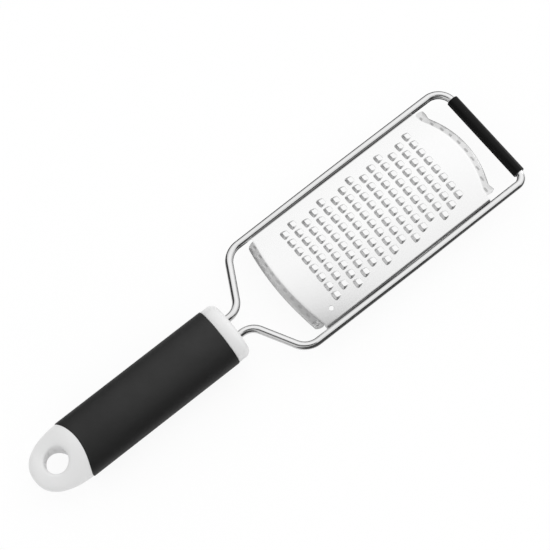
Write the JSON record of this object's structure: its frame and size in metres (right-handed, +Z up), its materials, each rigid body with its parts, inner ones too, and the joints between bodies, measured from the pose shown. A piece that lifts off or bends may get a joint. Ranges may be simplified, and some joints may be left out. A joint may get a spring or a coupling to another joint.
{
  "type": "hand-held grater",
  "caption": "Hand-held coarse grater: bowed toothed steel plate in a bent wire frame with a rubber tip sleeve, on an oval soft-grip handle with a hang hole.",
  "frame": {"origin": "on the surface that the grip rests on, under the middle of the overall box", "axes": "+X along the tool from the tail to the tip, +Y across the plate, +Z up, out of the grating face"},
  "size_m": [0.2972, 0.0716, 0.0264],
  "materials": {
    "polished_steel": "bright polished stainless steel wire",
    "satin_steel": "smooth satin stainless steel sheet",
    "white_plastic": "satin moulded white plastic",
    "grip_rubber": "fine matte soft-touch black",
    "sleeve_rubber": "smooth black tube"
  },
  "bodies": {
    "root": {"wire_frame": "polished_steel", "grating_plate": "satin_steel", "tip_sleeve": "sleeve_rubber", "handle_core": "white_plastic", "soft_grip": "grip_rubber"}
  },
  "joints": []
}
